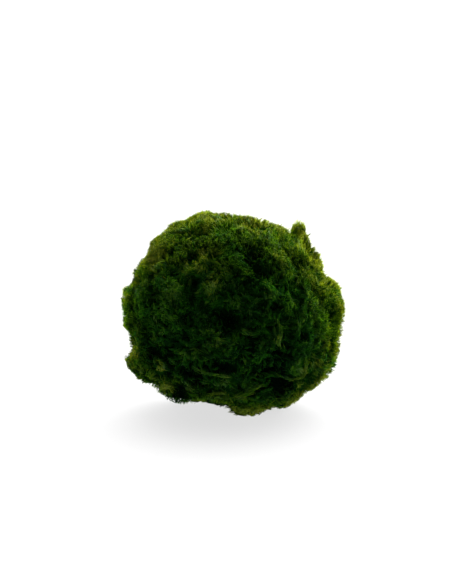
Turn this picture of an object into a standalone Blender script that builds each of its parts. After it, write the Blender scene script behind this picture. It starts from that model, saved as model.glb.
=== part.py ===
"""Marimo moss ball: one felted ball of green algae threads, lying on its flattened underside.

Metres, +Z up, front at -Y. The origin is on the surface that the ball rests on, under the middle of its box.
The ball is shaped about its middle in millimetres and brought to metres at the end.
"""

import math
import random

import bmesh
import bpy
import numpy as np
from mathutils import Matrix, Vector, noise
from mathutils.kdtree import KDTree

# Driving dimensions, in millimetres
HALF_DEPTH = 20.9
MIDDLE_HEIGHT = 19.5
OUTLINE_TILT_DEG = 12.0
MESH_CUTS = 19
MM = 0.001
SEED = 7

# The outline seen from the front and 12 degrees above: right of and above the middle, anticlockwise
OUTLINE = (
    (22.4, 1.8), (21.9, 4.6), (21.2, 6.1), (20.1, 6.9), (18.4, 8.1), (18.0, 10.1),  # right cheek and its step
    (16.2, 13.2), (14.2, 15.3), (11.7, 16.1), (10.3, 17.2), (6.1, 18.4), (1.0, 19.6),  # right shoulder
    (-4.1, 20.2), (-6.8, 20.2), (-7.5, 19.6), (-9.6, 18.7), (-12.2, 17.8), (-14.0, 16.2),  # crown
    (-16.4, 14.1), (-16.5, 12.9), (-17.7, 10.7), (-19.4, 8.8), (-20.6, 5.2),  # left shoulder
    (-21.9, 4.8), (-22.1, 1.8), (-21.8, -3.0), (-20.9, -4.3), (-20.7, -5.6), (-20.5, -7.4),  # left cheek
    (-21.6, -8.8), (-20.9, -10.8), (-18.9, -13.1), (-15.8, -14.8), (-13.7, -16.3), (-12.9, -17.6),  # flap
    (-10.4, -18.0), (-4.7, -18.0), (-0.6, -18.8), (1.0, -20.2), (4.2, -20.4), (7.4, -19.3),  # underside
    (10.6, -19.2), (13.2, -17.6), (16.8, -15.0), (19.1, -12.8), (20.3, -11.3), (21.3, -8.6), (21.8, -4.6),
)
OUTLINE_ROUND_DEG = 24.0
OUTLINE_REACH = 14
OUTLINE_BINS = 72
FIT_ROUNDS = 3

# The underside sags onto the surface round this point: right, back
FOOT_AT = (0.0, 3.0)
FOOT_RADIUS, FOOT_SAG = 10.0, 2.3

# The felt's relief: broad lobes, then domed clumps with creases round them, then locks of threads.
# It is lower towards the outline, whose own steps are in the table above.
LOBE_SIZE, LOBE_HEIGHT = 13.0, 1.3
CLUMPS = ((8.0, 1.3, 0.9), (4.4, 0.9, 0.6))
CREASE_WIDTH = 0.22
LOCK_SIZE, LOCK_HEIGHT = 2.4, 0.75
WARP_SIZE, WARP_REACH = 5.0, 1.8
OUTLINE_CALM = 0.35

# Hollows of the front: right of and above the middle, radius, depth
HOLLOWS = (
    (-8.1, 10.8, 1.3, 1.8), (12.9, 9.8, 1.9, 1.7), (4.6, 13.2, 2.2, 0.9), (-0.8, -0.9, 3.0, 2.2),
    (-8.4, -0.9, 1.6, 1.9), (8.6, 1.4, 1.2, 1.8), (7.9, -11.2, 2.6, 2.4), (9.2, -14.9, 2.5, 2.4),
    (-7.8, -13.2, 1.9, 2.1), (-12.8, -11.6, 1.5, 1.7), (-7.4, 5.8, 1.3, 1.5), (12.9, -4.2, 1.2, 1.5),
    (-10.8, -16.4, 1.9, 1.7), (2.2, -18.2, 1.2, 1.2), (17.5, -5.5, 1.3, 1.1), (5.2, 8.6, 1.7, 1.3),
    (-15.0, 3.0, 1.5, 1.1), (14.6, 14.6, 1.0, 0.8),
)
# Creases of the front: from, to, half width, depth
CREASES = (
    ((-7.2, -10.4), (0.2, -11.2), 0.9, 2.1), ((-16.0, -7.6), (-12.2, -10.2), 0.8, 1.5),
    ((-9.0, -15.6), (-4.2, -16.6), 0.8, 1.3), ((5.0, -12.6), (11.5, -12.4), 0.8, 1.3),
    ((13.6, 3.6), (13.0, 8.2), 0.7, 1.1), ((0.5, -16.0), (5.2, -14.4), 0.7, 1.2),
)
# Knolls of the front: right of and above the middle, radius, height
KNOLLS = (
    (-4.1, 5.4, 1.7, 1.0), (-5.8, 10.8, 1.4, 0.7), (-8.4, 8.6, 1.2, 0.6), (0.6, 11.2, 1.2, 0.7),
    (7.2, 5.4, 1.4, 0.8), (-15.4, 12.1, 2.2, 0.6), (8.9, -4.6, 1.1, 0.9), (13.6, -10.9, 1.6, 0.8),
    (-4.1, -12.6, 2.0, 0.9), (9.2, 11.1, 1.5, 0.7), (15.2, 0.8, 3.2, 0.8), (-13.8, -9.6, 1.1, 0.6),
    (2.0, -16.6, 1.9, 0.7), (3.4, 2.6, 1.3, 0.7), (-13.0, -14.6, 1.4, 0.6),
)
# The rest of the ball carries the same kinds of hollow and knoll, scattered
SCATTERED_HOLLOWS, SCATTERED_KNOLLS = 46, 40
FRONT_FROM = 0.45

# Tufts that stand out of the felt: (right, above, near) the middle, way it leans, length, radius
TUFTS = (
    ((12.9, 14.0, 0.5), (0.05, 1.0, 0.1), 3.7, 1.3),
    ((14.0, 13.2, 0.9), (0.2, 1.0, 0.2), 2.7, 1.2),
    ((-7.0, 13.0, -13.5), (-0.5, 0.8, -0.6), 2.2, 2.0),
    ((12.6, -3.0, -14.6), (0.6, 0.4, -0.7), 2.2, 2.2),
    ((-15.6, -6.0, -11.0), (-0.9, -0.2, -0.4), 2.2, 2.0),
)
TUFT_ROUGH, TUFT_GRAIN = 0.35, 1.2

MOSS_GREEN = (0.075, 0.135, 0.014, 1.0)
MOSS_ROUGHNESS = 0.85

tilt = math.radians(OUTLINE_TILT_DEG)
RIGHT = Vector((1, 0, 0))
UP = Vector((0, math.sin(tilt), math.cos(tilt)))
NEAR = Vector((0, -math.cos(tilt), math.sin(tilt)))


def clear_scene():
    for obj in list(bpy.data.objects):
        bpy.data.objects.remove(obj)


def dome(distance, radius):
    """1 at the middle of a bump and 0 well outside it."""
    return math.exp(-((distance / radius) ** 2))


def outline_radius(around):
    """The outline's radius at these angles, straight from corner to corner."""
    corners = sorted((math.atan2(up, right), math.hypot(right, up)) for right, up in OUTLINE)
    angles, radii = zip(*corners)
    return np.interp(around, angles, radii, period=math.tau)


def rounded_radius(around):
    """The outline's radius with its small steps smoothed away."""
    shifts = np.radians(OUTLINE_ROUND_DEG) * np.linspace(-1, 1, 9)
    return np.mean([outline_radius(around + shift) for shift in shifts], axis=0)


def front_way(right, above):
    """The direction of a point of the front, from where it is seen."""
    near = math.sqrt(max(HALF_DEPTH**2 - right**2 - above**2, 1.0))
    return (RIGHT * right + UP * above + NEAR * near).normalized()


def scattered_ways(count, draw):
    """Directions away from the front, spread evenly by a golden spiral and then shaken."""
    found = []
    for k in range(2 * count):
        height = 1 - (2 * k + 1) / (2 * count)
        around = k * math.pi * (3 - math.sqrt(5))
        ring = math.sqrt(1 - height * height)
        shake = Vector([draw.uniform(-0.12, 0.12) for _ in range(3)])
        way = (Vector((ring * math.cos(around), ring * math.sin(around), height)) + shake).normalized()
        if way.dot(NEAR) < FRONT_FROM:
            found.append(way)
    draw.shuffle(found)
    return found[:count]


def bumps():
    """Every knoll and hollow as (direction, radius, height), where a hollow's height is negative."""
    draw = random.Random(SEED)
    found = [(front_way(x, z), radius, height) for x, z, radius, height in KNOLLS]
    found += [(front_way(x, z), radius, -depth) for x, z, radius, depth in HOLLOWS]
    ways = scattered_ways(SCATTERED_HOLLOWS + SCATTERED_KNOLLS, draw)
    for way in ways[:SCATTERED_HOLLOWS]:
        radius = draw.uniform(1.0, 2.4)
        found.append((way, radius, -draw.uniform(0.5, 0.75) * (radius + 0.6)))
    for way in ways[SCATTERED_HOLLOWS:]:
        found.append((way, draw.uniform(1.2, 2.8), draw.uniform(0.5, 0.9)))
    return found


def crease_depth(way):
    """How deep the creases of the front are in this direction."""
    if way.dot(NEAR) < 0.1:
        return 0.0
    place = way * HALF_DEPTH
    at = Vector((place.dot(RIGHT), place.dot(UP)))
    depth = 0.0
    for start, end, half_width, deep in CREASES:
        a, b = Vector(start), Vector(end)
        share = min(max((at - a).dot(b - a) / (b - a).length_squared, 0.0), 1.0)
        depth += deep * dome((at - a.lerp(b, share)).length, half_width)
    return depth


def warped(place):
    """The place moved about a little, so that the clumps don't look like cells."""
    shifts = (noise.noise(place / WARP_SIZE + Vector((apart, 0, 0))) for apart in (10, 20, 30))
    return place + Vector(shifts) * WARP_REACH


def felt_height(way):
    """The height of the felt's lobes, clumps and locks in this direction."""
    place = way * HALF_DEPTH
    height = LOBE_HEIGHT * noise.noise(place / LOBE_SIZE)
    place = warped(place)
    for size, rise, crease in CLUMPS:
        nearest, second = noise.voronoi(place / size)[0][:2]
        height += rise * (0.4 - nearest**2) - crease * math.exp(-(second - nearest) / CREASE_WIDTH)
    return height + LOCK_HEIGHT * (abs(noise.noise(place / LOCK_SIZE)) - 0.25)


def reliefs(ways):
    """The height of the felt above its rounded form in each direction."""
    marks = bumps()
    near_marks = KDTree(len(marks))
    for index, (way, _, _) in enumerate(marks):
        near_marks.insert(way, index)
    near_marks.balance()
    foot = Vector((*FOOT_AT, -MIDDLE_HEIGHT)).normalized()
    for way in ways:
        height = felt_height(way) * (1 - OUTLINE_CALM * (1 - way.dot(NEAR) ** 2) ** 3) - crease_depth(way)
        for place, index, _ in near_marks.find_range(way, 0.3):
            _, radius, rise = marks[index]
            height += rise * dome((place - way).length * HALF_DEPTH, radius)
        pressed = dome((way - foot).length * HALF_DEPTH, FOOT_RADIUS)
        yield height * (1 - pressed) + FOOT_SAG * pressed


def reaches(ways):
    """How far the felt reaches from the middle in each direction."""
    unit = np.array(ways)
    right, up = unit @ np.array(RIGHT), unit @ np.array(UP)
    side, around = np.hypot(right, up), np.arctan2(up, right)
    reach = HALF_DEPTH + (rounded_radius(around) - HALF_DEPTH) * side**2 + np.array(list(reliefs(ways)))
    to_surface = MIDDLE_HEIGHT / np.maximum(-unit[:, 2], 0.1)
    middles = (np.arange(OUTLINE_BINS) + 0.5) / OUTLINE_BINS * math.tau
    bins = (around % math.tau / math.tau * OUTLINE_BINS).astype(int) % OUTLINE_BINS
    for _ in range(FIT_ROUNDS):
        seen = np.zeros(OUTLINE_BINS)
        np.maximum.at(seen, bins, np.minimum(reach, to_surface) * side)
        seen = (np.roll(seen, 1) + 2 * seen + np.roll(seen, -1)) / 4
        fit = np.interp(around, middles, outline_radius(middles) / seen, period=math.tau)
        reach *= 1 + (fit - 1) * side**OUTLINE_REACH
    return reach


def object_from(bm, name, collection):
    mesh = bpy.data.meshes.new(name)
    bm.to_mesh(mesh)
    bm.free()
    obj = bpy.data.objects.new(name, mesh)
    collection.objects.link(obj)
    return obj


def felted_ball(collection):
    """A ball of even triangles with each vertex moved out to the felt's surface."""
    bm = bmesh.new()
    bmesh.ops.create_icosphere(bm, subdivisions=1, radius=1.0)
    bmesh.ops.subdivide_edges(bm, edges=bm.edges, cuts=MESH_CUTS, use_grid_fill=True)
    ways = [vertex.co.normalized() for vertex in bm.verts]
    for vertex, way, reach in zip(bm.verts, ways, reaches(ways)):
        vertex.co = way * reach
    return object_from(bm, "moss_ball", collection)


def tuft(index, base, lean, length, radius, collection):
    """A small rough tuft, its foot sunk in the felt."""
    bm = bmesh.new()
    bmesh.ops.create_icosphere(bm, subdivisions=3, radius=1.0)
    for vertex in bm.verts:
        grain = vertex.co * radius / TUFT_GRAIN
        vertex.co *= 1 + TUFT_ROUGH * noise.noise(grain + Vector((index * 9.0, 0, 0)))
    axis = (RIGHT * lean[0] + UP * lean[1] + NEAR * lean[2]).normalized()
    place = RIGHT * base[0] + UP * base[1] + NEAR * base[2] + axis * length / 2
    turn = axis.to_track_quat("Z", "Y").to_matrix().to_4x4()
    size = Matrix.Diagonal((radius, radius, length / 2 + radius / 2, 1))
    bmesh.ops.transform(bm, matrix=Matrix.Translation(place) @ turn @ size, verts=bm.verts)
    return object_from(bm, f"tuft_{index}", collection)


def surface_block(collection):
    """The block below the resting surface, which flattens the underside."""
    bm = bmesh.new()
    bmesh.ops.create_cube(bm, size=100.0)
    bmesh.ops.translate(bm, vec=(0, 0, -MIDDLE_HEIGHT - 50.0), verts=bm.verts)
    return object_from(bm, "resting_surface", collection)


def realise(obj):
    """Gives the object the mesh that its modifiers make."""
    evaluated = obj.evaluated_get(bpy.context.evaluated_depsgraph_get())
    mesh = bpy.data.meshes.new_from_object(evaluated)
    obj.modifiers.clear()
    obj.data = mesh
    mesh.name = obj.name


def moss_material():
    material = bpy.data.materials.new("moss")
    material.use_nodes = True
    shader = material.node_tree.nodes["Principled BSDF"]
    shader.inputs["Base Color"].default_value = MOSS_GREEN
    shader.inputs["Roughness"].default_value = MOSS_ROUGHNESS
    shader.inputs["Metallic"].default_value = 0.0
    material.diffuse_color = MOSS_GREEN
    return material


def stand_on_origin(obj):
    """Sets the ball over the origin, on its flattened underside, and brings it to metres."""
    corners = np.array([vertex.co for vertex in obj.data.vertices])
    low, high = corners.min(axis=0), corners.max(axis=0)
    shift = Vector((-(low[0] + high[0]) / 2, -(low[1] + high[1]) / 2, -low[2]))
    obj.data.transform(Matrix.Scale(MM, 4) @ Matrix.Translation(shift))


def build():
    clear_scene()
    parts = bpy.data.collections.new("marimo_moss_ball")
    tufts = bpy.data.collections.new("tufts")
    cutters = bpy.data.collections.new("cutters")
    for collection in (parts, tufts, cutters):
        bpy.context.scene.collection.children.link(collection)

    ball = felted_ball(parts)
    for index, (base, lean, length, radius) in enumerate(TUFTS):
        tuft(index, base, lean, length, radius, tufts)
    block = surface_block(cutters)
    for helper in [*tufts.objects, block]:
        helper.hide_render = True
        helper.display_type = "WIRE"

    join = ball.modifiers.new("join_tufts", "BOOLEAN")
    join.operation, join.operand_type, join.collection = "UNION", "COLLECTION", tufts
    press = ball.modifiers.new("press_underside", "BOOLEAN")
    press.operation, press.object = "DIFFERENCE", block
    realise(ball)

    for helper in [*tufts.objects, block]:
        bpy.data.objects.remove(helper)
    stand_on_origin(ball)
    ball.data.materials.clear()
    ball.data.materials.append(moss_material())
    ball.data.shade_smooth()


build()
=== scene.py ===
import math

import bmesh
import bpy
import numpy as np
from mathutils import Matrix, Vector
from mathutils.bvhtree import BVHTree
from mathutils.kdtree import KDTree


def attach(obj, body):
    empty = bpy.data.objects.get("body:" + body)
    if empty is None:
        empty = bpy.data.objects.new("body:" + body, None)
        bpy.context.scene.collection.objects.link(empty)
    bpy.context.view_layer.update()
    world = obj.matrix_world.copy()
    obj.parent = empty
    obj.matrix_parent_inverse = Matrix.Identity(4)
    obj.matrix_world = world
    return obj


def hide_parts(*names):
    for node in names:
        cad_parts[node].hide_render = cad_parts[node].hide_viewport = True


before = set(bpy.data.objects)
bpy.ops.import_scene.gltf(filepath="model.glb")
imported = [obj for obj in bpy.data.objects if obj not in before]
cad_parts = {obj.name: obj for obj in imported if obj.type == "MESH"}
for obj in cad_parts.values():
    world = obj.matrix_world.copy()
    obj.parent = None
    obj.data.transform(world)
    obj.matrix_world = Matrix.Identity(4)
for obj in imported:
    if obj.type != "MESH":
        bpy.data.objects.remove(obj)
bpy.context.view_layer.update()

MM = 0.001
SEED = 11

# The picture: what the camera sees, in millimetres and degrees
CAMERA_ABOVE = 12.0
CAMERA_AWAY = 400.0
SENSOR = 36.0
PICTURE_HEIGHT = 116.8
FLOOR_RADIUS = 6000.0
BALL_MIDDLE = np.array([0.0, 0.0, 19.5])
BALL_RIGHT, BALL_BELOW = 1.3, 4.1  # of the picture's middle
SIGHT_FROM = 40.0  # nearer than the ball's middle, to look for what the camera sees

tilt = math.radians(CAMERA_ABOVE)
RIGHT = np.array([1.0, 0.0, 0.0])
UP = np.array([0.0, math.sin(tilt), math.cos(tilt)])
NEAR = np.array([0.0, -math.cos(tilt), math.sin(tilt)])

# The light around the ball: brightest from behind and above, a little to the right
LIGHT_FROM = RIGHT * 0.22 + UP * 0.58 - NEAR * 0.78
LIGHT_LOW, LIGHT_HIGH, LIGHT_FALL = 0.04, 10.0, 6.0

# The kinds of place on the ball, from the sine of the angle that each begins at to that of its full strength
CROWN_RISES = (0.1, 0.75)  # upwards in the picture
MATTED_RISES = (-0.1, -0.55)
FRONT_RISES = (0.3, 0.8)  # towards the camera
PATCHES_RISE = (-8.0, 0.0)  # millimetres nearer than the ball's middle
FLOOR_NEAR = 3.0  # over the floor, where the threads grow shorter
RESTING_BELOW = 0.1

# Smooth random fields: the waves of each one, how far their pitches spread, and their height
WAVES, WAVE_PITCHES, WAVE_HEIGHT = 14, (0.6, 1.7), 1.5
# Each field's seed and size
LOCK_FLOW, LOCK_CURL = (5, 8.0), (6, 2.4)
FUZZ_CURL, HAIR_CURL, RESTING_CURL = (8, 1.4), (9, 1.0), (10, 3.0)
WIDE_TONES, FINE_TONES, WIDE_HUES = (21, 16.0), (22, 4.0), (23, 7.0)
EDGE_GAPS, LOW_BORDER = (24, 9.0), (25, 3.0)

# How light the threads are, from 0 to 1: in all, by the drifts, and by where they are, with painted light and
# shade: lighter on the crown, at the edge and on knolls, darker on the front and in hollows
TONE, TONE_RANGE = 0.4, (0.02, 0.97)
WIDE_TONES_VARY, FINE_TONES_VARY = 0.035, 0.04
TONE_IN_CROWN_LIGHT, TONE_IN_RIM_LIGHT, TONE_IN_SHADE = 0.03, 0.13, -0.17
RELIEF_LIGHT_AND_SHADE, CROWN_RELIEF_LIGHT_AND_SHADE = 0.045, -0.03
# How yellow they are, from 0 to 2: in all, by their own hue, by the drift and by the patches
HUE, OWN_HUES_VARY, WIDE_HUES_VARY, PATCH_HUES_VARY = 0.05, 0.25, 0.1, 0.6
COOL_ABOVE, COOL_BELOW = 0.1, 0.15  # their own hue, and the patches'
# The lit outside and crown take the yellow green: painted light
LIT_OUTSIDE, LIT_ON_CROWN, MATTED_LESS_LIT = 1.4, 0.9, 0.6  # where they are yellower
LOW_BELOW, LOW_IN_FRONT, LOW_VARIES = 0.1, 0.3, 0.2  # the sine of the angle that the cool green ends at

# The front's painted shade, and its middle, by the sine of the angle towards the camera
SHADE_RISES, MIDDLE_RISES, MIDDLE_LESS_SHADED = (0.2, 0.65), (0.75, 1.0), 0.35
# The painted rim light at the edge: where it ends on the front, how it fades behind, where it comes from, and
# its gaps
EDGE_ENDS, BEHIND_RISES, BEHIND_LESS_LIT = (0.05, 0.42), (0.1, 0.7), 0.6
EDGE_LIT_FROM, EDGE_LIT_RISES, EDGE_LEAST = RIGHT * 0.5 + UP * 0.85, (-0.7, 0.3), 0.25
EDGE_VARIES, EDGE_RANGE = 0.7, (0.3, 1.3)

# The surface is eased by mixing each corner with those next to it, in rounds
NORMAL_ROUNDS, NEAR_ROUNDS, WIDE_ROUNDS, CREASE_ROUNDS = 3, 6, 24, 20
NEAR_COUNTS, WIDE_COUNTS = 0.8, 0.6
HOLLOW_SIZE = 0.55  # a height above or below the surface round it that counts as one step
MOST_STEPS = 2.5

# The felt that the threads stand in, below the tips of the threads
FELT_DEPTH = 1.2
FELT_RISES_BELOW, FELT_LEAST_SHARE = 1.5, 0.08  # over the floor, and of the depth
FELT_GRAINS = ((30, 1.7, 0.2), (31, 0.7, 0.08))  # seed, size, height
PIT_DARKNESS = 0.12  # of the patches, where the felt doesn't fill the creases at all
# The felt's lightness, and how much the patches and the matted low part darken it: painted shade in the pits
# and low down
FELT_LIGHT, PATCHES_ON_FELT, MATTED_FELT_SHADE = 0.7, 3, 0.5

# Strands: threads that bunch towards a guide
LOCKS = 20000
LOCKS_KEPT, LOCKS_LOST_WHERE_MATTED = 0.33, 0.1  # shares of them; on the crown all are kept
LOCK_STEPS = 4
LOCK_LENGTH, LOCK_LONGEST = (1.3, 2.4), 2.6
LEAN_FROM, LEAN_TO = 8.0, 66.0  # degrees from upright
MATTED_LEAN_FROM, MATTED_LEAN_TO = 20.0, 12.0  # more of both where the ball is matted
CROWN_LEAN_FROM, CROWN_LEAN_TO = 14.0, -8.0
LOCK_DRIFTS, LOCK_STRAY, LOCK_UPWARDS, CROWN_UPWARDS = 0.8, 0.6, 0.5, 0.9
LAID_DRIFTS, LAID_LEANS, LAID_LONGER, MATTED_LONGER = 2.0, 0.25, 0.4, 0.35
LOCK_LEVEL_LONGER, LOCK_LEVEL_RANGE = 0.18, (0.5, 1.25)
LOCK_CURLS = (0.32, -0.22, 0.25)  # in all, and what the crown and the matted parts add
LOCK_TONE, LOCK_HUE = (0.0, 0.045), (0.0, 0.35)  # the mean and how far they vary
FRONT_BRIGHTER, MATTED_BRIGHTER, FEW_BRIGHTER = 0.2, 0.5, 2.5
# How much darker the locks of the front and of the matted low part are: painted shade
FRONT_SHADE_DARKER, MATTED_SHADE_DARKER = 0.05, 0.16
LOCKS_MIXED, MIXED_FROM = 3, 0.15
LOCK_PULL, CROWN_PULL, MATTED_PULL, PULL_BEGINS = (0.25, 0.9), -0.45, 0.25, 0.8
STRANDS = 32500
STRAND_STEPS = 3
STRAND_SHARE = (0.6, 1.0)  # of its lock's length
STRAND_WIDTH = (0.12, 0.21)
STRAND_FRIZZ, STRAND_TONE = 0.06, (0.0, 0.025)
STRAND_TIPS_VARY, FEW_STRANDS = 0.3, 3
CROWN_LESS_FRIZZ, MATTED_LESS_FRIZZ = 0.6, 0.5
CROWN_BRIGHTER, CROWN_DARKER = 0.2, 0.045
LOCK_TONES_COUNT = 1.2
FRONT_BROADER, CROWN_BROADER = 1.5, 0.4
TIPS_LOWEST = -0.1  # over the CAD ball

# Short fine fuzz between and over the strands
FUZZ_THREADS = 28500
FUZZ_STEPS = 2
FUZZ_CROWDED = 0.5  # on knolls
FUZZ_LOST_WHERE_MATTED, FUZZ_LOST_IN_FRONT = 0.75, 0.65  # shares of it
FUZZ_UPWARDS, FUZZ_ROOT = 0.3, 0.6  # its lean upwards, and where in the felt's depth it starts
FUZZ_LENGTH = (1.0, 1.8)
FUZZ_LEAN = (3.0, 42.0)
FUZZ_WIDTH = (0.08, 0.13)
FUZZ_TIPS_VARY, FEW_FUZZ = 0.4, 4
FUZZ_CURLS, FUZZ_TONE, FUZZ_HUE = 0.3, (0.04, 0.035), (0.15, 0.35)
COARSE = 1.3  # times the fuzz's width, in the tufts and on the resting spot

# Upright hairs that stand a little higher, and roughen the outline
HAIRS = 6500
HAIR_LEAN = (0.0, 28.0)
HAIR_TOP = (0.1, 0.75)  # over the CAD ball
HAIR_ROOT = 0.5  # under it
HAIR_WIDTH = (0.12, 0.19)
HAIR_SHORTEST, HAIR_UPWARDS = 0.05, 0.5
LEFT_HAIRS_LOWER, MATTED_HAIRS_LOWER = 0.6, 0.5
HAIRS_LOWER = (0.5, 0.85)  # towards the left edge of the picture
HAIR_CURLS, HAIR_TONE, HAIR_HUE = 0.2, (0.05, 0.05), (0.1, 0.3)

# Threads that lie flat on the spot that the ball rests on
RESTING_THREADS = 2400
RESTING_LENGTH = (0.9, 1.9)
RESTING_HEIGHT = (0.07, 0.13)  # of their middles over the floor
RESTING_STRAY, RESTING_TONE = 0.5, (0.0, 0.06)
THREADS_LOWEST, FELT_LOWEST = 0.02, 0.12  # over the floor

# Tufts of threads that stand out of the felt:
# (right, above, near) the middle, way, length, radius, how much lighter the top is, as painted light
TUFTS = (
    ((13.1, 14.0, 0.5), (0.03, 1.0, 0.1), 4.1, 1.8, 0.5),
    ((13.9, 13.2, 0.9), (0.03, 1.0, 0.2), 2.7, 1.3, 0.45),
    ((12.3, 14.2, 1.3), (-0.1, 1.0, 0.1), 1.9, 0.9, -0.15),
    ((-7.0, 13.0, -13.5), (-0.5, 0.8, -0.6), 2.2, 2.0, 0.25),
    ((12.6, -3.0, -14.6), (0.6, 0.4, -0.7), 2.2, 2.2, 0.25),
    ((-15.6, -6.0, -11.0), (-0.9, -0.2, -0.4), 2.2, 2.0, 0.25),
)
TUFT_THREADS = 800  # in each
TUFT_THREAD_LENGTH, TUFT_THREAD_SHORTEST = (0.9, 1.7), 0.25
TUFT_START, TUFT_FOOT = (-0.4, 0.85), 0.75  # of its length, and of its radius
TUFT_SPREAD, TUFT_STRAY, TUFT_CLOSES = 0.28, 0.18, 0.12
TUFT_ROUNDED = 0.7
TUFT_TONE = (-0.02, 0.05)
TUFT_SEED = 3
TUFT_EDGE = (1.15, 1.45)  # of its size
TUFT_STANDS = (0.3, 0.9)  # over the surface round it, from its foot up
TUFT_BARE = 0.3  # past this share of a tuft, only its own threads grow

# The threads' shape: the share of their width at each point, by the number of their steps
THREAD_SIDES = 3
TAPERS = {2: (0.9, 0.8, 0.0), 3: (0.8, 1.0, 0.75, 0.0), 4: (0.8, 1.0, 1.0, 0.75, 0.0)}
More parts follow.
